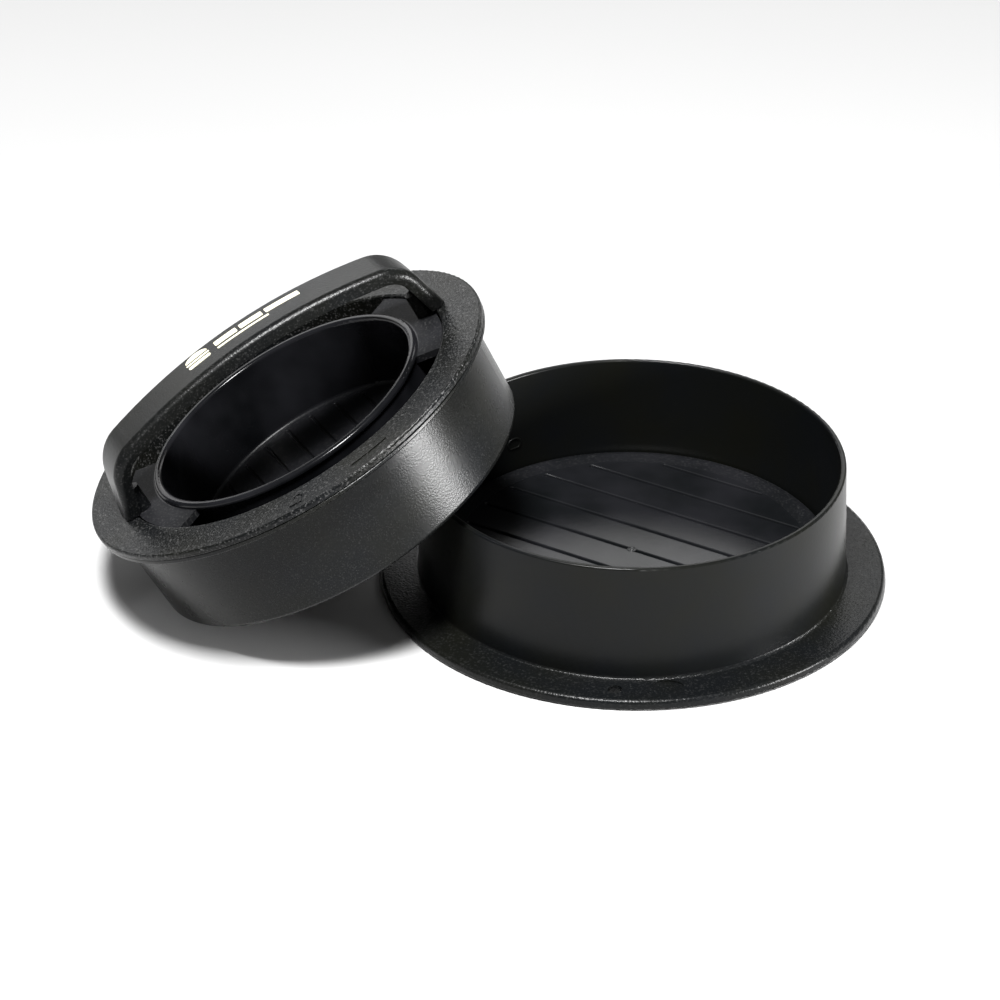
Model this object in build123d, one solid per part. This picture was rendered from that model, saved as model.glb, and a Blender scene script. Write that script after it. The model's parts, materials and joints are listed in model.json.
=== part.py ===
from build123d import *
import os
from math import cos, radians, sin, sqrt, tan

# Patty press: a lower mould with a loose lifting plate, and an upper press that leans on the mould's rim.
# Millimetres, +Z up, origin on the table, under the middle of the whole set's bounding box.
# The mould is drawn about its own axis and then moved along X.
# The upper press is drawn upright in its own frame, with z = 0 on top of its flange and +Z along its axis,
# and is then tilted and put in its leaning place.

# ---- shared small sizes ----
SINK = 0.5
CLEAR_CUT = 1.0
RELIEF_H = 0.25
RELIEF_LINE_W = 0.9

# ---- lower mould ----
MOULD_X = 40.4
BRIM_R = 72.4
BRIM_T = 3.0
WALL_FOOT_R = 61.3
WALL_RIM_R = 60.0
MOULD_H = 37.1
BORE_RIM_R = 58.4
BORE_FOOT_R = 58.1
LEDGE_R = 50.0
LEDGE_T = 2.0
LEDGE_TOP = 4.3
FOOT_R = 57.0
BRIM_EDGE_R = 0.8
MOULD_RIM_EDGE_R = 0.6
MOULD_INNER_EDGE_R = 0.5
HANG_HOLE_R = 2.0
HANG_HOLE_AT = (-7.0, -66.2)
DISH_SIZE = (8.6, 5.6)
DISH_AT = (7.4, -64.8)
DISH_DEPTH = 0.5

# ---- lifting plate ----
PLATE_R = 57.5
PLATE_TOP = 7.0
PLATE_T = 2.4
GROOVE_ANGLE = -32.5
GROOVE_PITCH = 11.75
GROOVE_COUNT = 9
GROOVE_END_R = 50.0
GROOVE_W = 1.7
GROOVE_DEPTH = 0.7
GROOVE_SLOPE = 20.0
GROOVE_LIP_DEPTH = 0.18
GROOVE_LIP_SLOPE = 60.0
PLATE_RIM_W = 2.0
PLATE_RIM_DROP = 0.5
PLATE_RIB_R = 48.6
PLATE_RIB_T = 1.4
PLATE_RIB_H = 1.4

# ---- pressing pan ----
FLANGE_R = 62.8
FLANGE_T = 3.3
SEAM_Z = -1.8
SEAM_STEP = 0.15
SKIRT_TOP_R = 58.1
SKIRT_LOW_R = 57.0
PAN_DEPTH = 31.6
PAN_WALL = 1.8
PAN_FLOOR = 2.0
PAN_EDGE_R = 1.5
PAN_RIB_W = 2.2
PAN_RIB_H = 1.2
PAN_RIB_END_R = 50.0
PAN_RIB_CHAMFER = 0.5

# ---- lock ring ----
OPENING_R = 50.7
COLLAR_R = 52.3
COLLAR_Z = -8.0
SPIGOT_Z = -4.2
SPIGOT_W = 1.5
LEDGE_IN_R = 46.4
LOCK_LEDGE_T = 1.8
LEDGE_HALF_ANGLE = 14.0
STOP_ANGLE = 3.0
STOP_GAP_ANGLE = 0.5
TWIST_RANGE = 28.0
MARKS_OUT = 0.4
PADLOCK_ANGLE = -83.0
CHEVRON_ANGLES = (-76.5, -73.5)
ARROW_START = -66.0
ARROW_END = -53.5
SPIGOT_GAP = 0.15
COLLAR_SINK = 0.8
OPEN_STOP_IN = 2.0

# ---- inner press ----
BEAD_TOP = 0.3
BEAD_OUT_R = 42.4
BEAD_IN_R = 39.8
BEAD_H = 1.8
BEAD_EDGE_R = 1.1
CUP_FLOOR_EDGE_R = 1.4
CUP_WALL = 1.8
CUP_FLOOR_Z = -22.2
CUP_FLOOR_R = 38.8
CUP_GROOVE_PITCH = 7.9
CUP_GROOVE_COUNT = 9
CUP_GROOVE_END_R = 36.6
CUP_GROOVE_W = 1.4
CUP_GROOVE_DEPTH = 0.7
CUP_RIB_H = 1.2
CUP_RIB_CHAMFER = 0.4
SHELF_R = 50.2
SHELF_CHORD = 43.0
SHELF_ROOT_S = 35.2
SHELF_ROOT_HALF = 20.2
SHELF_TOP = -0.9
SHELF_T = 2.0
TONGUE_R = 49.8
TONGUE_TOP = -8.4
TONGUE_T = 2.0
TONGUE_HALF_ANGLE = 10.0
GUSSET_R = 45.9
GUSSET_T_AT = (-12.0, 12.0)
GUSSET_T = 1.4
GUSSET_DROP = 5.0
GUSSET_END_DROP = 0.8

# ---- handle ----
HANDLE_ANGLE = 22.0
HANDLE_TOP = 26.2
HANDLE_ARC_R = 167.0
HANDLE_FOOT_S = 54.1
HANDLE_LEAN = 14.7
SHOULDER_R = 12.0
HANDLE_DEPTH = 4.4
HANDLE_HALF_W = 9.4
HANDLE_FOOT_HALF_W = 5.2
HANDLE_TAPER_TOP = 17.0
HANDLE_EDGE_R = 2.4
HANDLE_SKIN = 1.7
HANDLE_RIB_W = 1.2
HANDLE_RIB_AT = (-36.0, -24.0, -12.0, 0.0, 12.0, 24.0, 36.0)
FOOT_GAP = 0.35
BOSS_S = 47.8
BOSS_R = 2.3
BOSS_TOP = 6.5
SCREW_R = 1.2
SCREW_HEAD_R = 2.3
SCREW_HEAD_H = 1.7
SCREW_TIP = 4.5
SCREW_GAP = 0.25
CROSS_SIZE = (2.6, 0.6, 1.8)
TIE_REACH = 5.0
BOSS_INSET = 1.0

# ---- leaning place of the upper press ----
LEAN = 28.0
LEAN_X = MOULD_X - 98.1
EDGE_R_CENTRE = SKIRT_LOW_R - PAN_EDGE_R
EDGE_Z_CENTRE = PAN_DEPTH - PAN_EDGE_R
LEAN_Z = EDGE_R_CENTRE * sin(radians(LEAN)) + EDGE_Z_CENTRE * cos(radians(LEAN)) + PAN_EDGE_R
STANDING = Pos(MOULD_X, 0, 0)
LEANING = Pos(LEAN_X, 0, LEAN_Z) * Rot(0, -LEAN, 0)
AT_HANDLE = Rot(0, 0, HANDLE_ANGLE)


def turned(points, radii):
    """Solid of revolution about Z from (r, z) corners, each with its own rounding radius."""
    outline = FilletPolyline(*points, radius=radii, close=True)
    return revolve(Plane.XZ * make_face(outline), axis=Axis.Z)


def turned_to_axis(points, radii):
    """Like turned, for an outline whose first and last corners lie on the axis and stay sharp."""
    outline = FilletPolyline(*points, radius=radii)
    closing = Line(points[-1], points[0])
    return revolve(Plane.XZ * make_face([outline, closing]), axis=Axis.Z)


def disc(radius, low, high, at=(0, 0)):
    """Upright cylinder between two heights."""
    return Pos(at[0], at[1], low) * extrude(Circle(radius), high - low)


def sector(inner_r, outer_r, low, high, start, end):
    """Piece of a ring between two radii, two heights and two angles."""
    ring = disc(outer_r, low, high) - disc(inner_r, low, high)
    reach = 2 * outer_r
    half = radians((end - start) / 2)
    wedge = Polygon((0, 0), (reach * cos(half), -reach * sin(half)), (reach * cos(half), reach * sin(half)),
                    align=None)
    return ring & (Rot(0, 0, (start + end) / 2) * Pos(0, 0, low) * extrude(wedge, high - low))


def parallel_grooves(count, pitch, end_r, width, depth, top, angle):
    """Cutters for round-ended straight grooves with eased lips, whose ends lie on one circle."""
    cutters = []
    lip_floor = width - 2 * GROOVE_LIP_DEPTH * tan(radians(GROOVE_LIP_SLOPE))
    floor = lip_floor - 2 * (depth - GROOVE_LIP_DEPTH) * tan(radians(GROOVE_SLOPE))
    for index in range(count):
        offset = (index - (count - 1) / 2) * pitch
        straight = 2 * sqrt(end_r ** 2 - offset ** 2) - width
        groove = extrude(SlotOverall(straight + floor, floor), depth, taper=-GROOVE_SLOPE)
        lip = extrude(SlotOverall(straight + lip_floor, lip_floor), GROOVE_LIP_DEPTH, taper=-GROOVE_LIP_SLOPE)
        above = extrude(SlotOverall(straight + width, width), CLEAR_CUT)
        cutter = groove + Pos(0, 0, depth - GROOVE_LIP_DEPTH) * lip + Pos(0, 0, depth) * above
        cutters.append(Rot(0, 0, angle) * Pos(0, offset, top - depth) * cutter)
    return cutters


def parallel_bars(count, pitch, end_r, width, low, high, angle):
    """Round-ended straight bars, side by side, whose ends lie on one circle."""
    bars = []
    for index in range(count):
        offset = (index - (count - 1) / 2) * pitch
        length = 2 * sqrt(end_r ** 2 - offset ** 2)
        bar = extrude(SlotOverall(length, width), high - low)
        bars.append(Rot(0, 0, angle) * Pos(0, offset, low) * bar)
    return bars


def make_base_ring():
    points = [
        (FOOT_R, 0),
        (BRIM_R, 0),
        (BRIM_R, BRIM_T),
        (WALL_FOOT_R, BRIM_T),
        (WALL_RIM_R, MOULD_H),
        (BORE_RIM_R, MOULD_H),
        (BORE_FOOT_R, LEDGE_TOP),
        (LEDGE_R, LEDGE_TOP),
        (LEDGE_R, LEDGE_TOP - LEDGE_T),
        (FOOT_R, LEDGE_TOP - LEDGE_T),
    ]
    body = turned(points, [0.4, BRIM_EDGE_R, 1.2, 0.7, MOULD_RIM_EDGE_R] + [MOULD_INNER_EDGE_R] * 4 + [0.8])
    body -= disc(HANG_HOLE_R, -CLEAR_CUT, BRIM_T + CLEAR_CUT, HANG_HOLE_AT)
    dish = extrude(Ellipse(DISH_SIZE[0] / 2, DISH_SIZE[1] / 2), DISH_DEPTH + CLEAR_CUT)
    body -= Pos(DISH_AT[0], DISH_AT[1], BRIM_T - DISH_DEPTH) * dish
    return STANDING * body


def make_lift_plate():
    low = PLATE_TOP - PLATE_T
    points = [
        (0, low),
        (PLATE_R, low),
        (PLATE_R, PLATE_TOP - PLATE_RIM_DROP),
        (PLATE_R - PLATE_RIM_W, PLATE_TOP),
        (0, PLATE_TOP),
    ]
    plate = turned_to_axis(points, [0.4, 0.3, 0.5])
    rib_low = low - PLATE_RIB_H
    plate += disc(PLATE_RIB_R, rib_low, low + SINK) - disc(PLATE_RIB_R - PLATE_RIB_T, rib_low, low + SINK)
    for groove in parallel_grooves(GROOVE_COUNT, GROOVE_PITCH, GROOVE_END_R, GROOVE_W, GROOVE_DEPTH,
                                   PLATE_TOP, GROOVE_ANGLE):
        plate -= groove
    return STANDING * plate


def make_press_pan():
    inside_top_r = SKIRT_TOP_R - PAN_WALL
    inside_low_r = SKIRT_LOW_R - PAN_WALL
    points = [
        (0, -PAN_DEPTH),
        (SKIRT_LOW_R, -PAN_DEPTH),
        (SKIRT_TOP_R, -FLANGE_T),
        (FLANGE_R - SEAM_STEP, -FLANGE_T),
        (FLANGE_R - SEAM_STEP, SEAM_Z),
        (inside_top_r, SEAM_Z),
        (inside_low_r, PAN_FLOOR - PAN_DEPTH),
        (0, PAN_FLOOR - PAN_DEPTH),
    ]
    pan = turned_to_axis(points, [PAN_EDGE_R, 0.4, 0.5, 0.35, 0.3, 1.2])
    for bar in parallel_bars(GROOVE_COUNT, GROOVE_PITCH, PAN_RIB_END_R, PAN_RIB_W,
                             -PAN_DEPTH - PAN_RIB_H, -PAN_DEPTH + SINK, HANDLE_ANGLE - 90):
        pan += chamfer(bar.faces().sort_by(Axis.Z)[0].edges(), PAN_RIB_CHAMFER)
    return LEANING * pan


def direction_marks():
    """Low relief on the flange: an open padlock, two chevrons and a long arrow round to the right."""
    middle_r = (OPENING_R + FLANGE_R) / 2 + MARKS_OUT
    body = Pos(0, -1.1) * Rectangle(3.6, 2.6)
    shackle = Pos(0.9, 0.9) * (Circle(1.7) - Circle(1.0))
    shackle &= Pos(0.9, 1.9) * Rectangle(3.6, 2.4)
    leg = Pos(-0.45, 0.5) * Rectangle(0.7, 1.4)
    marks = [(PADLOCK_ANGLE, body + shackle + leg)]
    chevron = Polygon((-0.9, 1.6), (0.1, 1.6), (1.1, 0), (0.1, -1.6), (-0.9, -1.6), (0.1, 0), align=None)
    marks += [(angle, chevron) for angle in CHEVRON_ANGLES]
    relief = []
    for angle, sketch in marks:
        flat = extrude(sketch, SINK + RELIEF_H)
        relief.append(Rot(0, 0, angle) * Pos(middle_r, 0, -SINK) * Rot(0, 0, 90) * flat)
    half_w = RELIEF_LINE_W / 2
    shaft = sector(middle_r - half_w, middle_r + half_w, -SINK, RELIEF_H, ARROW_START, ARROW_END)
    head = extrude(Polygon((0, 2.0), (3.4, 0), (0, -2.0), align=None), SINK + RELIEF_H)
    relief.append(shaft)
    relief.append(Rot(0, 0, ARROW_END - 0.2) * Pos(middle_r, 0, -SINK) * Rot(0, 0, 90) * head)
    return relief


def make_lock_ring():
    spigot_r = SKIRT_TOP_R - PAN_WALL - SPIGOT_GAP
    points = [
        (OPENING_R, 0),
        (OPENING_R, COLLAR_Z),
        (COLLAR_R, COLLAR_Z),
        (COLLAR_R, SEAM_Z),
        (spigot_r - SPIGOT_W, SEAM_Z),
        (spigot_r - SPIGOT_W, SPIGOT_Z),
        (spigot_r, SPIGOT_Z),
        (spigot_r, SEAM_Z),
        (FLANGE_R, SEAM_Z),
        (FLANGE_R, 0),
    ]
    ring = turned(points, [0.6, 0.3, 0.3, 0.3, 0.3, 0.3, 0.3, 0, 0.35, 0.7])
    outer = OPENING_R + COLLAR_SINK
    stop_in = TONGUE_R - OPEN_STOP_IN
    stop_low = TONGUE_TOP - TONGUE_T
    closed_stop = -TONGUE_HALF_ANGLE - STOP_GAP_ANGLE
    open_stop = TONGUE_HALF_ANGLE + TWIST_RANGE + STOP_GAP_ANGLE
    for side in (0, 180):
        place = Rot(0, 0, HANDLE_ANGLE + side)
        ledge = sector(LEDGE_IN_R, outer, COLLAR_Z, COLLAR_Z + LOCK_LEDGE_T,
                       -LEDGE_HALF_ANGLE, LEDGE_HALF_ANGLE)
        first = sector(LEDGE_IN_R, outer, stop_low, COLLAR_Z + SINK, closed_stop - STOP_ANGLE, closed_stop)
        second = sector(stop_in, outer, stop_low, COLLAR_Z + SINK, open_stop, open_stop + STOP_ANGLE)
        bridge = sector(stop_in, outer, COLLAR_Z, COLLAR_Z + LOCK_LEDGE_T, open_stop, open_stop + STOP_ANGLE)
        for piece in (ledge, first, second, bridge):
            ring += place * piece
    for piece in direction_marks():
        ring += piece
    return LEANING * ring


def shelf_outline():
    """Plan of one shelf: a segment of a circle, narrowed a little where it runs into the cup."""
    half_chord = sqrt(SHELF_R ** 2 - SHELF_CHORD ** 2)
    segment = Circle(SHELF_R) & Pos(SHELF_R, 0) * Rectangle(2 * (SHELF_R - SHELF_CHORD), 2 * half_chord + 2)
    end_s = SHELF_CHORD + SINK
    end_half = half_chord - SINK
    root = Polygon((SHELF_ROOT_S, -SHELF_ROOT_HALF), (end_s, -end_half), (end_s, end_half),
                   (SHELF_ROOT_S, SHELF_ROOT_HALF), align=None)
    return segment + root


def make_inner_press():
    outer_top_r = BEAD_IN_R + CUP_WALL
    outer_low_r = CUP_FLOOR_R + CUP_WALL
    low = CUP_FLOOR_Z - CUP_WALL
    points = [
        (0, low),
        (outer_low_r, low),
        (outer_top_r, BEAD_TOP - BEAD_H),
        (BEAD_OUT_R, BEAD_TOP - BEAD_H),
        (BEAD_OUT_R, BEAD_TOP),
        (0, BEAD_TOP),
    ]
    cup = turned_to_axis(points, [2.2, 0.2, 0.5, BEAD_EDGE_R])
    lid = BEAD_TOP + CLEAR_CUT
    hollow_points = [
        (0, CUP_FLOOR_Z),
        (CUP_FLOOR_R, CUP_FLOOR_Z),
        (BEAD_IN_R, BEAD_TOP),
        (BEAD_IN_R, lid),
        (0, lid),
    ]
    hollow = turned_to_axis(hollow_points, [CUP_FLOOR_EDGE_R, 0, 0])
    fixtures = []
    for side in (0, 180):
        place = Rot(0, 0, side)
        shelf = Pos(0, 0, SHELF_TOP - SHELF_T) * extrude(shelf_outline(), SHELF_T)
        tongue = sector(outer_low_r - 0.6, TONGUE_R, TONGUE_TOP - TONGUE_T, TONGUE_TOP,
                        -TONGUE_HALF_ANGLE, TONGUE_HALF_ANGLE)
        fixtures.append(place * shelf)
        fixtures.append(place * tongue)
        for offset in GUSSET_T_AT:
            reach = sqrt(GUSSET_R ** 2 - offset ** 2)
            start = sqrt(outer_low_r ** 2 - offset ** 2) - 0.4
            web = Polygon((start, SHELF_TOP - SHELF_T + 0.2), (reach, SHELF_TOP - SHELF_T + 0.2),
                          (reach, SHELF_TOP - SHELF_T - GUSSET_END_DROP),
                          (start, SHELF_TOP - SHELF_T - GUSSET_DROP), align=None)
            fixtures.append(place * Pos(0, offset + GUSSET_T / 2, 0) * extrude(Plane.XZ * web, GUSSET_T))
    for piece in fixtures:
        cup += piece
    cup -= hollow
    mouth = cup.edges().filter_by(GeomType.CIRCLE).filter_by(lambda edge: abs(edge.radius - BEAD_IN_R) < 0.01)
    cup = fillet(mouth.sort_by(Axis.Z)[-1], BEAD_EDGE_R)
    for groove in parallel_grooves(CUP_GROOVE_COUNT, CUP_GROOVE_PITCH, CUP_GROOVE_END_R, CUP_GROOVE_W,
                                   CUP_GROOVE_DEPTH, CUP_FLOOR_Z, -90):
        cup -= groove
    for bar in parallel_bars(CUP_GROOVE_COUNT, CUP_GROOVE_PITCH, CUP_GROOVE_END_R, PAN_RIB_W,
                             low - CUP_RIB_H, low + SINK, -90):
        cup += chamfer(bar.faces().sort_by(Axis.Z)[0].edges(), CUP_RIB_CHAMFER)
    for side in (-1, 1):
        cup -= disc(SCREW_R + SCREW_GAP, SHELF_TOP - SHELF_T - CLEAR_CUT, SHELF_TOP + CLEAR_CUT,
                    (side * BOSS_S, 0))
    return LEANING * AT_HANDLE * cup


def arch_outline(inset, low):
    """Side view of the arch, in (s, height): a crowned top on two leaning legs, drawn inset by a distance."""
    lean = radians(HANDLE_LEAN)
    arc_r = HANDLE_ARC_R - inset
    centre_z = HANDLE_TOP - HANDLE_ARC_R
    foot_s = HANDLE_FOOT_S - inset / cos(lean)
    top_s = foot_s
    for _ in range(40):
        top_z = centre_z + sqrt(arc_r ** 2 - top_s ** 2)
        top_s = foot_s - top_z * sin(lean) / cos(lean)
    low_s = foot_s - low * sin(lean) / cos(lean)
    crown = ThreePointArc((top_s, top_z), (0, centre_z + arc_r), (-top_s, top_z))
    sides = [
        Line((-top_s, top_z), (-low_s, low)),
        Line((-low_s, low), (low_s, low)),
        Line((low_s, low), (top_s, top_z)),
    ]
    face = make_face([crown] + sides)
    shoulders = face.vertices().filter_by(lambda corner: corner.Y > top_z - 1)
    return fillet(shoulders, SHOULDER_R - inset)


def arch_solid(inset, low):
    """The arch outline, extruded wider than the handle."""
    face = Plane.XZ * arch_outline(inset, low)
    return Pos(0, HANDLE_HALF_W + 5, 0) * extrude(face, 2 * HANDLE_HALF_W + 10)


def end_view(inset):
    """The handle seen from its end, wide at the top and narrowing to the feet, extruded along its length."""
    top = HANDLE_HALF_W - inset
    foot = HANDLE_FOOT_HALF_W - inset
    low = -5.0
    high = HANDLE_TOP + 5
    foot_low = foot - (top - foot) * -low / HANDLE_TAPER_TOP
    points = [(foot_low, low), (top, HANDLE_TAPER_TOP), (top, high)]
    points += [(-top, high), (-top, HANDLE_TAPER_TOP), (-foot_low, low)]
    outline = FilletPolyline(*points, radius=[0, 20, 0, 0, 20, 0], close=True)
    reach = HANDLE_FOOT_S + 5
    return Pos(-reach, 0, 0) * extrude(Plane.YZ * make_face(outline), 2 * reach)


def make_handle():
    """Arched shell, open below, with cross ribs, and a screw boss inside each foot."""
    block = arch_solid(0, FOOT_GAP) & end_view(0)
    long_edges = block.edges().filter_by(lambda edge: edge.center().Z > FOOT_GAP + 0.5)
    long_edges = long_edges.filter_by(lambda edge: abs(edge.center().Y) > 1)
    block = fillet(long_edges, HANDLE_EDGE_R)
    under = arch_solid(HANDLE_DEPTH, FOOT_GAP - 4)
    strap = block - under
    hollow = arch_solid(HANDLE_SKIN, FOOT_GAP - 4) & end_view(HANDLE_SKIN)
    for rib_s in HANDLE_RIB_AT:
        hollow -= Pos(rib_s, 0, HANDLE_TOP / 2) * Box(HANDLE_RIB_W, 4 * HANDLE_HALF_W, 2 * HANDLE_TOP)
    shell = strap - hollow
    for side in (-1, 1):
        boss = disc(BOSS_R, SHELF_TOP, BOSS_TOP, (BOSS_S, 0))
        tie = Box(TIE_REACH, HANDLE_RIB_W, BOSS_TOP - FOOT_GAP)
        tie = Pos(BOSS_S + TIE_REACH / 2, 0, (BOSS_TOP + FOOT_GAP) / 2) * tie
        foot = (boss + tie) & arch_solid(BOSS_INSET, SHELF_TOP)
        foot -= disc(SCREW_R, SHELF_TOP - CLEAR_CUT, SCREW_TIP + CLEAR_CUT, (BOSS_S, 0))
        shell += Rot(0, 0, 90 * (1 - side)) * foot
    return LEANING * AT_HANDLE * shell


def make_handle_screws():
    """Two pan-head screws, driven up through the shelves into the handle's bosses."""
    seat = SHELF_TOP - SHELF_T
    points = [
        (0, seat - SCREW_HEAD_H),
        (SCREW_HEAD_R, seat - SCREW_HEAD_H),
        (SCREW_HEAD_R, seat),
        (SCREW_R, seat),
        (SCREW_R, SCREW_TIP),
        (0, SCREW_TIP),
    ]
    screw = turned_to_axis(points, [0.9, 0.2, 0, 0.5])
    for angle in (0, 90):
        screw -= Pos(0, 0, seat - SCREW_HEAD_H) * Rot(0, 0, angle) * Box(*CROSS_SIZE)
    screws = [LEANING * AT_HANDLE * Pos(side * BOSS_S, 0, 0) * screw for side in (-1, 1)]
    return Compound(children=screws)


def make_all():
    return {
        "base_ring": make_base_ring(),
        "lift_plate": make_lift_plate(),
        "press_pan": make_press_pan(),
        "lock_ring": make_lock_ring(),
        "inner_press": make_inner_press(),
        "handle": make_handle(),
        "handle_screws": make_handle_screws(),
    }


os.makedirs("parts", exist_ok=True)
for name, shape in make_all().items():
    export_step(shape, "parts/" + name + ".step")
    print(name, round(shape.volume, 1), len(shape.solids()))
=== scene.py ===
import json
from math import cos, pi, radians, sin, sqrt, tan

import bmesh
import bpy
from mathutils import Matrix, Vector


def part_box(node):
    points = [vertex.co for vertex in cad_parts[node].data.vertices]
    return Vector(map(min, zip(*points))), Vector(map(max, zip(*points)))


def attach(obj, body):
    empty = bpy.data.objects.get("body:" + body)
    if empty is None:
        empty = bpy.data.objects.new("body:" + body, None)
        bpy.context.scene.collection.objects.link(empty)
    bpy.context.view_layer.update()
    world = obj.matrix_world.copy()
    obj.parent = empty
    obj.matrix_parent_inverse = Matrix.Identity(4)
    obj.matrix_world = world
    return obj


# Looks of the patty press. Metres; the helpers below take millimetres where their names say so.

MM = 0.001

# ---- places taken over from the CAD model, in millimetres and degrees ----
LEAN = 28.0
HANDLE_ANGLE = 22.0
CROWN_TOP = 26.2
CROWN_ARC_R = 167.0
BRIM_TOP = 3.0
MOULD_BORE_R = 58.2
PLATE_TOP = 7.0
PLATE_GROOVE_END_R = 50.5
CUP_BEAD_R = 42.4
CUP_FLOOR_Z = -22.2

# ---- print on the handle, in millimetres along and across the crown ----
PRINT_PROUD = 0.09
PRINT_SUNK = 0.12
PRINT_STEP = 1.0
EMBLEM_S = -12.3
EMBLEM_T = 2.2
EMBLEM_W = 7.4
BUN_TOP_AT = 1.4
BUN_TOP_H = 3.0
FILLING = (-0.5, 0.5)
FILLING_PROUD = 0.2
BUN_BOTTOM = (-3.3, -1.4)
STRIPE_START = -6.2
UPPER_STRIPES = ((0.0, 7.4), (8.4, 15.8), (16.8, 27.6))
UPPER_STRIPE = (-0.7, 2.4)
LOWER_STRIPE_L = 17.0
LOWER_STRIPE = (-3.2, -2.1)

# ---- small moulding marks ----
WALL_LOOP_ANGLE = 125.0
WALL_LOOP_Z = 15.0
WALL_LOOP_R = 2.3
WALL_LOOP_WIRE = 0.4
WALL_LOOP_SQUASH = 0.8
WALL_LOOP_FLAT_AT = -0.75
WALL_LOOP_SINK = 0.1
GATE_MARK_R = 1.3
GATE_MARK_SINK = 0.05

# ---- camera and studio ----
CAMERA_AT = (0.0027, -0.8246, 0.5077)
CAMERA_DOWN = 30.41
CAMERA_ROLL = 0.41
CAMERA_LENS = 121.1
SENSOR_W = 36
FLOOR_HALF = 6.0
FLOOR_Z = -0.0002
WORLD_STRENGTH = 0.16

# name, place, what it aims at, size, power in watts
SOFTBOXES = (
    ("top_softbox", (-0.12, -0.42, 1.15), (0.03, 0, 0), (0.26, 0.26), 38),
    ("right_softbox", (0.95, -0.36, 0.12), (0.0, 0, 0.04), (0.30, 0.18), 20),
    ("back_left_softbox", (-0.55, 1.05, 0.42), (-0.05, 0, 0.07), (0.8, 0.35), 1.9),
    ("back_softbox", (0.25, 1.15, 0.75), (0.05, 0, 0.03), (0.7, 0.35), 2.2),
)

# ---- plastic's surface ----
SPECULAR = 0.17
FINE_SHARE = 0.7
PIT_SHARE = 0.5
PIT_SPREAD = 1.6
GLINT_SPREAD = 1.3
TONE_PATCH_MM = 26
WEAR_PATCH_MM = 9
WEAR = 0.012
FAINT_GRAIN = 0.12
BLEND_LOW = 0.3
BLEND_HIGH = 0.9
BLEND_W = 0.8
BEAD_BLEND_W = 0.5

# ---- colours ----
BLACK_WARM = (0.0042, 0.0044, 0.0034, 1)
BLACK_COLD = (0.0034, 0.0039, 0.0044, 1)
BLACK_DEEP = (0.0018, 0.0020, 0.0024, 1)
PLATE_GREY = (0.0090, 0.0092, 0.0108, 1)
# painted highlight colour: light-grey specks that stand in for glints of light off the grain
PAINTED_GLINT_GREY = (0.075, 0.075, 0.074, 1)
CREAM = (0.78, 0.75, 0.58, 1)
CREAM_THIN = (0.50, 0.48, 0.36, 1)
PAPER = (0.46, 0.46, 0.46, 1)
PAPER_LIGHT = (0.48, 0.48, 0.48, 1)
STEEL = (0.58, 0.58, 0.56, 1)


# ---------------------------------------------------------------- materials

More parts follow.
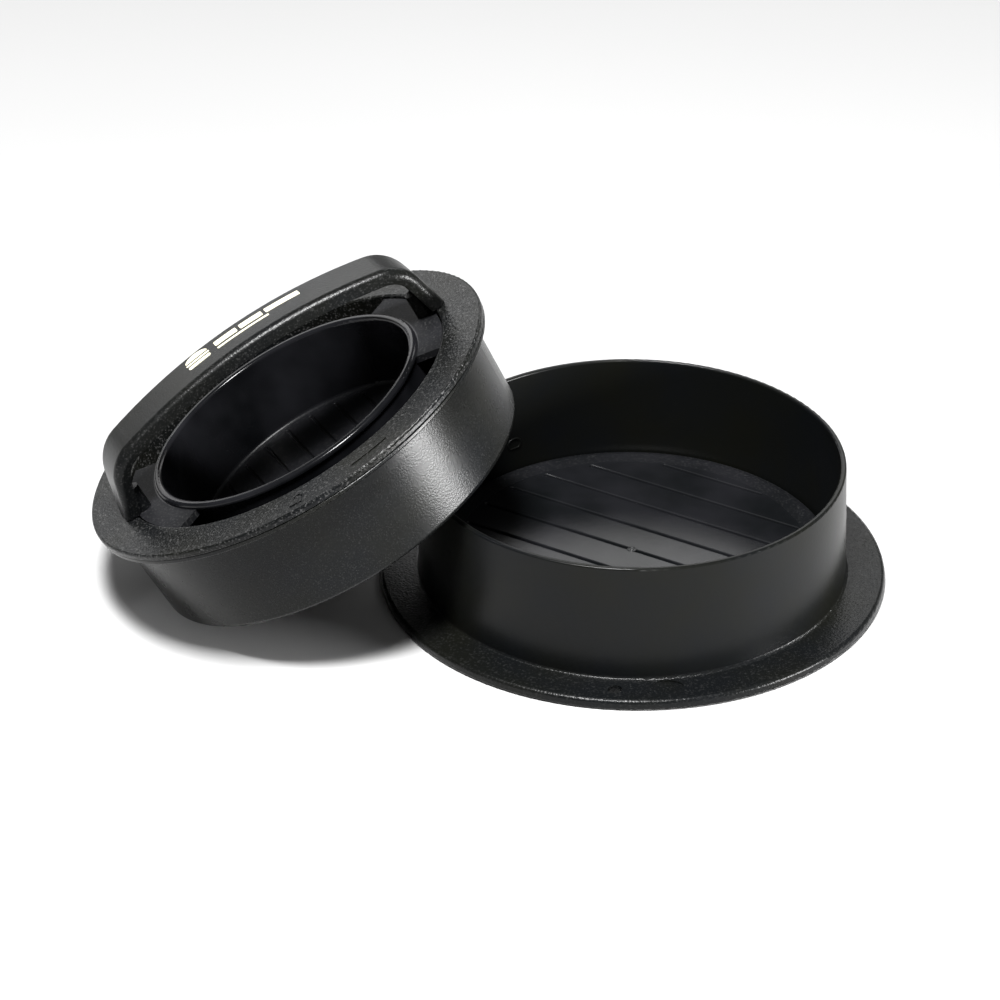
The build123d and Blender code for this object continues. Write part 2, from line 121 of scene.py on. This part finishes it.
class Graph:
    """Small helper that adds shader nodes and links them."""

    def __init__(self, name):
        self.material = bpy.data.materials.new(name)
        self.material.use_nodes = True
        self.tree = self.material.node_tree
        self.shader = self.tree.nodes["Principled BSDF"]
        self.object_point = self.add("ShaderNodeTexCoord").outputs["Object"]

    def add(self, kind, **settings):
        node = self.tree.nodes.new(kind)
        for key, value in settings.items():
            setattr(node, key, value)
        return node

    def link(self, source, target):
        self.tree.links.new(source, target)

    def noise(self, size_mm, detail=2.0, roughness=0.5):
        """Noise whose features are about size_mm across, from 0 to 1."""
        node = self.add("ShaderNodeTexNoise")
        node.inputs["Scale"].default_value = 1 / (size_mm * MM)
        node.inputs["Detail"].default_value = detail
        node.inputs["Roughness"].default_value = roughness
        self.link(self.object_point, node.inputs["Vector"])
        return node.outputs["Fac"]

    def cells(self, size_mm):
        """Distance to the nearest point of a random set about size_mm apart."""
        node = self.add("ShaderNodeTexVoronoi")
        node.inputs["Scale"].default_value = 1 / (size_mm * MM)
        self.link(self.object_point, node.inputs["Vector"])
        return node.outputs["Distance"]

    def ramp(self, value, low, high, to_low=0.0, to_high=1.0):
        """value, moved linearly from low..high to to_low..to_high, and clamped."""
        node = self.add("ShaderNodeMapRange")
        node.inputs["From Min"].default_value = low
        node.inputs["From Max"].default_value = high
        node.inputs["To Min"].default_value = to_low
        node.inputs["To Max"].default_value = to_high
        self.link(value, node.inputs["Value"])
        return node.outputs["Result"]

    def maths(self, operation, a, b):
        node = self.add("ShaderNodeMath", operation=operation)
        for socket, value in zip(node.inputs, (a, b)):
            if isinstance(value, (int, float)):
                socket.default_value = value
            else:
                self.link(value, socket)
        return node.outputs["Value"]

    def mix_colour(self, factor, a, b):
        node = self.add("ShaderNodeMix", data_type="RGBA")
        self.link(factor, node.inputs["Factor"])
        for socket, value in ((node.inputs[6], a), (node.inputs[7], b)):
            if isinstance(value, tuple):
                socket.default_value = value
            else:
                self.link(value, socket)
        return node.outputs[2]

    def press_point(self):
        """Place in the upper press's own frame, in metres."""
        node = self.add("ShaderNodeMapping", vector_type="TEXTURE")
        node.inputs["Location"].default_value = grip_joint()["pos_m"]
        node.inputs["Rotation"].default_value = (0, radians(-LEAN), 0)
        self.link(self.object_point, node.inputs["Vector"])
        return node.outputs["Vector"]

    def height_mm(self):
        """Height over the table, in millimetres, at rest."""
        node = self.add("ShaderNodeSeparateXYZ")
        self.link(self.object_point, node.inputs["Vector"])
        return self.maths("DIVIDE", node.outputs["Z"], MM)

    def radius_mm(self, point, centre_x):
        """Distance from the axis along Z at centre_x, in millimetres."""
        node = self.add("ShaderNodeSeparateXYZ")
        self.link(point, node.inputs["Vector"])
        x = self.maths("SUBTRACT", node.outputs["X"], centre_x)
        xx = self.maths("MULTIPLY", x, x)
        yy = self.maths("MULTIPLY", node.outputs["Y"], node.outputs["Y"])
        return self.maths("DIVIDE", self.maths("SQRT", self.maths("ADD", xx, yy), 0.0), MM)

    def bump(self, height, depth_mm, strength=1.0):
        node = self.add("ShaderNodeBump")
        node.inputs["Strength"].default_value = strength
        node.inputs["Distance"].default_value = depth_mm * MM
        self.link(height, node.inputs["Height"])
        self.link(node.outputs["Normal"], self.shader.inputs["Normal"])


def moulded_plastic(name, colour, dark, rough, grain_mm, grain_depth_mm, painted_glint, mask=None,
                    rough_masked=None, specular=SPECULAR):
    """Black moulded plastic. Its spark-eroded grain is bump, with light-grey specks painted into the colour
    as glints: painted highlights that stand in for light caught by the grain. Tone and gloss vary.
    Where mask is 0 the grain is fainter, the painted glints are left out and the roughness is rough_masked."""
    g = Graph(name)
    fine = g.noise(grain_mm, detail=3.0, roughness=0.6)
    pits = g.ramp(g.cells(grain_mm * PIT_SPREAD), 0.1, 0.7)
    height = g.maths("ADD", g.maths("MULTIPLY", fine, FINE_SHARE), g.maths("MULTIPLY", pits, PIT_SHARE))
    tone = g.ramp(g.noise(TONE_PATCH_MM, detail=3.0), 0.35, 0.65)
    wear = g.ramp(g.noise(WEAR_PATCH_MM, detail=4.0, roughness=0.65), 0.3, 0.7, -WEAR, WEAR)
    # painted glints: light-grey specks that stand in for highlights off the grain, as strong as the speck
    # strength given
    glint = g.ramp(g.noise(grain_mm * GLINT_SPREAD, detail=1.0), 0.56, 0.74, 0.0, painted_glint)
    if mask is None:
        roughness = g.maths("ADD", wear, rough)
    else:
        shown = mask(g)
        height = g.maths("MULTIPLY", height, g.ramp(shown, 0, 1, FAINT_GRAIN, 1.0))
        roughness = g.maths("ADD", wear, g.ramp(shown, 0, 1, rough_masked, rough))
        glint = g.maths("MULTIPLY", glint, shown)
    # base colour is the random tone with the painted glint highlights laid over it
    colour_out = g.mix_colour(glint, g.mix_colour(tone, colour, dark), PAINTED_GLINT_GREY)
    g.link(colour_out, g.shader.inputs["Base Color"])
    g.link(roughness, g.shader.inputs["Roughness"])
    g.shader.inputs["Specular IOR Level"].default_value = specular
    g.bump(height, grain_depth_mm)
    return g.material


def brim_mask(g):
    """1 on the mould's brim, 0 on its wall."""
    return g.ramp(g.height_mm(), BRIM_TOP + BLEND_HIGH, BRIM_TOP + BLEND_LOW)


def plate_band_mask(g):
    """1 on the grained band round the plate's grooves, 0 inside it."""
    middle_x = sum(corner.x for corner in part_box("lift_plate")) / 2
    return g.ramp(g.radius_mm(g.object_point, middle_x), PLATE_GROOVE_END_R, PLATE_GROOVE_END_R + BLEND_W)


def cup_mask(g):
    """1 on the dull shelves, a half on the cup's floor, 0 on its polished bead and wall."""
    node = g.add("ShaderNodeSeparateXYZ")
    point = g.press_point()
    g.link(point, node.inputs["Vector"])
    shelf = g.ramp(g.radius_mm(point, 0.0), CUP_BEAD_R, CUP_BEAD_R + BEAD_BLEND_W)
    floor_low = (CUP_FLOOR_Z + BLEND_LOW) * MM
    floor_high = (CUP_FLOOR_Z + BLEND_HIGH) * MM
    floor = g.ramp(node.outputs["Z"], floor_high, floor_low, 0.0, 0.5)
    return g.maths("MAXIMUM", shelf, floor)


def steel(name):
    """Zinc-plated screw."""
    g = Graph(name)
    tone = g.ramp(g.noise(0.8, detail=3.0), 0.3, 0.7, 0.22, 0.38)
    g.shader.inputs["Base Color"].default_value = STEEL
    g.shader.inputs["Metallic"].default_value = 1.0
    g.link(tone, g.shader.inputs["Roughness"])
    g.bump(g.noise(0.3), 0.01)
    return g.material


def pad_print(name):
    """Matt cream ink, thin enough for the grain below it to show."""
    g = Graph(name)
    thin = g.ramp(g.noise(0.45, detail=3.0), 0.25, 0.45)
    g.link(g.mix_colour(thin, CREAM_THIN, CREAM), g.shader.inputs["Base Color"])
    g.link(g.ramp(g.noise(0.5), 0.3, 0.7, 0.45, 0.6), g.shader.inputs["Roughness"])
    g.bump(g.noise(0.35, detail=3.0), 0.02)
    return g.material


def studio_paper(name):
    """Matt pale paper."""
    g = Graph(name)
    tone = g.ramp(g.noise(400), 0.3, 0.7)
    g.link(g.mix_colour(tone, PAPER, PAPER_LIGHT), g.shader.inputs["Base Color"])
    g.shader.inputs["Roughness"].default_value = 0.9
    g.shader.inputs["Specular IOR Level"].default_value = 0.1
    return g.material


# ---------------------------------------------------------------- frames

def grip_joint():
    return next(joint for joint in frame["joints"] if joint["name"] == "grip_twist")


def press_frame():
    """Matrix from the upper press's own frame to the row frame, from the grip joint's place and the press's
    lean.
    """
    return Matrix.Translation(Vector(grip_joint()["pos_m"])) @ Matrix.Rotation(radians(-LEAN), 4, "Y")


def handle_frame():
    return press_frame() @ Matrix.Rotation(radians(HANDLE_ANGLE), 4, "Z")


def mould_x():
    low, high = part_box("base_ring")
    return (low.x + high.x) / 2


# ---------------------------------------------------------------- pieces

def new_piece(name, mesh_builder, material, body):
    mesh = bpy.data.meshes.new(name)
    mesh_builder.normal_update()
    mesh_builder.to_mesh(mesh)
    mesh_builder.free()
    piece = bpy.data.objects.new(name, mesh)
    bpy.context.scene.collection.objects.link(piece)
    piece.data.materials.append(material)
    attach(piece, body)
    return piece


def crown_height(s):
    """Height of the handle's crown over the flange at a place along it, in millimetres."""
    return CROWN_TOP - CROWN_ARC_R + sqrt(CROWN_ARC_R ** 2 - s ** 2)


def rounded_outline(corners, radius, steps=6):
    """A closed outline of convex or hollow corners, each rounded with radius."""
    points = []
    count = len(corners)
    for index, corner in enumerate(corners):
        here = Vector(corner)
        before = (Vector(corners[index - 1]) - here).normalized()
        after = (Vector(corners[(index + 1) % count]) - here).normalized()
        half = before.angle(after) / 2
        reach = radius / tan(half)
        start = here + before * reach
        end = here + after * reach
        for step in range(steps + 1):
            t = step / steps
            points.append(tuple((1 - t) ** 2 * start + 2 * t * (1 - t) * here + t ** 2 * end))
    return points


def dome_outline(centre, width, height, steps=18):
    """A bun top: flat below, half an ellipse above."""
    points = [(centre[0] - width / 2, centre[1])]
    for step in range(1, steps):
        angle = pi - pi * step / steps
        points.append((centre[0] + width / 2 * cos(angle), centre[1] + height * sin(angle)))
    points.append((centre[0] + width / 2, centre[1]))
    return points


def bar(s0, s1, t0, t1, radius):
    """A rectangle with rounded corners."""
    return rounded_outline([(s0, t0), (s1, t0), (s1, t1), (s0, t1)], radius)


def print_outlines():
    """A burger pictogram and two plain stripes, in millimetres along and across the crown."""
    s = EMBLEM_S
    t = EMBLEM_T
    w = EMBLEM_W
    return [
        dome_outline((s, t + BUN_TOP_AT), w, BUN_TOP_H),
        bar(s - w / 2 - FILLING_PROUD, s + w / 2 + FILLING_PROUD, t + FILLING[0], t + FILLING[1], 0.45),
        bar(s - w / 2, s + w / 2, t + BUN_BOTTOM[0], t + BUN_BOTTOM[1], 0.8),
        *[bar(STRIPE_START + start, STRIPE_START + end, t + UPPER_STRIPE[0], t + UPPER_STRIPE[1], 0.4)
          for start, end in UPPER_STRIPES],
        bar(STRIPE_START, STRIPE_START + LOWER_STRIPE_L, t + LOWER_STRIPE[0], t + LOWER_STRIPE[1], 0.3),
    ]


def make_handle_print(material):
    """The outlines as thin pads that follow the crown."""
    bm = bmesh.new()
    for outline in print_outlines():
        bm.faces.new([bm.verts.new((s, t, 0)) for s, t in outline])
    low = min(v.co.x for v in bm.verts)
    high = max(v.co.x for v in bm.verts)
    for index in range(1, int((high - low) / PRINT_STEP) + 1):
        geometry = bm.verts[:] + bm.edges[:] + bm.faces[:]
        bmesh.ops.bisect_plane(bm, geom=geometry, plane_co=(low + index * PRINT_STEP, 0, 0),
                               plane_no=(1, 0, 0))
    bottom = bm.faces[:]
    grown = bmesh.ops.extrude_face_region(bm, geom=bottom)
    top = {item for item in grown["geom"] if isinstance(item, bmesh.types.BMVert)}
    place = handle_frame()
    for vert in bm.verts:
        offset = PRINT_PROUD if vert in top else -PRINT_SUNK
        s, t = vert.co.x, vert.co.y
        vert.co = place @ (Vector((s, t, crown_height(s) + offset)) * MM)
    bmesh.ops.recalc_face_normals(bm, faces=bm.faces)
    return new_piece("handle_print", bm, material, "grip")


def make_wall_loop(material):
    """A small D-shaped loop, raised on the inside of the mould's wall."""
    bm = bmesh.new()
    rings = []
    steps = 28
    sides = 8
    middle_x = mould_x()
    for step in range(steps):
        turn = 2 * pi * step / steps
        along = WALL_LOOP_R * cos(turn)
        up = WALL_LOOP_Z + WALL_LOOP_SQUASH * WALL_LOOP_R * max(sin(turn), WALL_LOOP_FLAT_AT)
        ring = []
        for side in range(sides):
            around = 2 * pi * side / sides
            out = WALL_LOOP_WIRE * cos(around)
            wide = 1 + WALL_LOOP_WIRE / WALL_LOOP_R * sin(around)
            angle = radians(WALL_LOOP_ANGLE) + along * wide / MOULD_BORE_R
            radius = MOULD_BORE_R + WALL_LOOP_SINK - out
            z = WALL_LOOP_Z + (up - WALL_LOOP_Z) * wide
            place = Vector((radius * cos(angle), radius * sin(angle), z)) * MM
            ring.append(bm.verts.new(place + Vector((middle_x, 0, 0))))
        rings.append(ring)
    for step in range(steps):
        here, after = rings[step], rings[(step + 1) % steps]
        for side in range(sides):
            across = (side + 1) % sides
            bm.faces.new((here[side], here[across], after[across], after[side]))
    bmesh.ops.recalc_face_normals(bm, faces=bm.faces)
    return new_piece("wall_loop", bm, material, "mould")


def make_gate_mark(material):
    """The cut-off gate at the plate's middle: a low button in a shallow ring."""
    profile = [(0.0, 0.16), (0.45, 0.15), (0.6, 0.04), (0.9, 0.03), (1.0, 0.13), (GATE_MARK_R, 0.10),
               (GATE_MARK_R + 0.15, -GATE_MARK_SINK)]
    bm = bmesh.new()
    steps = 32
    middle_x = mould_x()
    rings = []
    for radius, height in profile[1:]:
        ring = []
        for step in range(steps):
            angle = 2 * pi * step / steps
            place = Vector((radius * cos(angle), radius * sin(angle), PLATE_TOP + height)) * MM
            ring.append(bm.verts.new(place + Vector((middle_x, 0, 0))))
        rings.append(ring)
    tip = bm.verts.new(Vector((middle_x, 0, (PLATE_TOP + profile[0][1]) * MM)))
    for step in range(steps):
        after = (step + 1) % steps
        bm.faces.new((tip, rings[0][step], rings[0][after]))
        for inner, outer in zip(rings, rings[1:]):
            bm.faces.new((inner[step], outer[step], outer[after], inner[after]))
    bm.faces.new(list(reversed(rings[-1])))
    bmesh.ops.recalc_face_normals(bm, faces=bm.faces)
    return new_piece("plate_gate_mark", bm, material, "plate")


def dress_nodes():
    """Gives each CAD node its finish and returns the materials by node."""
    # each finish's speck strength sets its painted glints: light-grey dots in the colour that stand in for
    # highlights off the grain
    finishes = {
        "base_ring": moulded_plastic("mould_plastic", BLACK_WARM, BLACK_COLD, rough=0.29, grain_mm=0.5,
                                     grain_depth_mm=0.08, painted_glint=0.12, mask=brim_mask, rough_masked=0.31),
        "lift_plate": moulded_plastic("plate_plastic", PLATE_GREY, BLACK_COLD, rough=0.34, grain_mm=0.5,
                                      grain_depth_mm=0.07, painted_glint=0.2, mask=plate_band_mask,
                                      rough_masked=0.25, specular=0.3),
        "press_pan": moulded_plastic("pan_plastic", BLACK_WARM, BLACK_COLD, rough=0.27, grain_mm=0.34,
                                     grain_depth_mm=0.03, painted_glint=0.15),
        "lock_ring": moulded_plastic("ring_plastic", BLACK_COLD, BLACK_WARM, rough=0.29, grain_mm=0.45,
                                     grain_depth_mm=0.09, painted_glint=0.8),
        "inner_press": moulded_plastic("cup_plastic", PLATE_GREY, BLACK_DEEP, rough=0.62, grain_mm=0.5,
                                       grain_depth_mm=0.03, painted_glint=0.3, mask=cup_mask, rough_masked=0.18),
        "handle": moulded_plastic("handle_plastic", BLACK_COLD, BLACK_WARM, rough=0.29, grain_mm=0.4,
                                  grain_depth_mm=0.05, painted_glint=0.3),
        "handle_screws": steel("screw_steel_look"),
    }
    for node, material in finishes.items():
        for place in frame["nodes"][node].material_slots:
            place.material = material
    return finishes


# ---------------------------------------------------------------- studio

def make_floor():
    bm = bmesh.new()
    corners = [(-1, -1), (1, -1), (1, 1), (-1, 1)]
    bm.faces.new([bm.verts.new((x * FLOOR_HALF, y * FLOOR_HALF, FLOOR_Z)) for x, y in corners])
    mesh = bpy.data.meshes.new("floor")
    bm.to_mesh(mesh)
    bm.free()
    floor = bpy.data.objects.new("floor", mesh)
    floor.data.materials.append(studio_paper("paper"))
    bpy.context.scene.collection.objects.link(floor)


def softbox(name, place, aim, size, power):
    data = bpy.data.lights.new(name, "AREA")
    data.shape = "RECTANGLE"
    data.size, data.size_y = size
    data.energy = power
    lamp = bpy.data.objects.new(name, data)
    lamp.location = place
    direction = Vector(aim) - Vector(place)
    lamp.rotation_euler = direction.to_track_quat("-Z", "Y").to_euler()
    bpy.context.scene.collection.objects.link(lamp)


def make_studio():
    scene = bpy.context.scene
    world = bpy.data.worlds.new("studio")
    world.use_nodes = True
    background = world.node_tree.nodes["Background"]
    background.inputs["Color"].default_value = (1.0, 1.0, 1.0, 1)
    background.inputs["Strength"].default_value = WORLD_STRENGTH
    scene.world = world
    scene.view_settings.view_transform = "Standard"
    scene.view_settings.look = "None"
    for softbox_values in SOFTBOXES:
        softbox(*softbox_values)


def make_camera():
    data = bpy.data.cameras.new("camera")
    data.lens = CAMERA_LENS
    data.sensor_width = SENSOR_W
    data.clip_start = 0.01
    camera = bpy.data.objects.new("camera", data)
    turn = Matrix.Rotation(radians(90 - CAMERA_DOWN), 4, "X") @ Matrix.Rotation(radians(-CAMERA_ROLL), 4, "Z")
    camera.matrix_world = Matrix.Translation(CAMERA_AT) @ turn
    bpy.context.scene.collection.objects.link(camera)
    bpy.context.scene.camera = camera


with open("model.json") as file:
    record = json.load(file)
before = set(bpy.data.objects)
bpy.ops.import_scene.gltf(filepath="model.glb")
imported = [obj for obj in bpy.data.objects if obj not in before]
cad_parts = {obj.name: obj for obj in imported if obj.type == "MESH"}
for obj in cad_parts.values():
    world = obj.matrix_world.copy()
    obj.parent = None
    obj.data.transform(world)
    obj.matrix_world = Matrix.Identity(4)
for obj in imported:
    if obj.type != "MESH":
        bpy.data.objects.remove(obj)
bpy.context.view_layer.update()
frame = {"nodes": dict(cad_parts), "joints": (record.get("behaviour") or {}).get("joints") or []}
finishes = dress_nodes()
make_handle_print(pad_print("print_ink"))
make_wall_loop(finishes["base_ring"])
make_gate_mark(finishes["lift_plate"])
make_floor()
make_studio()
make_camera()
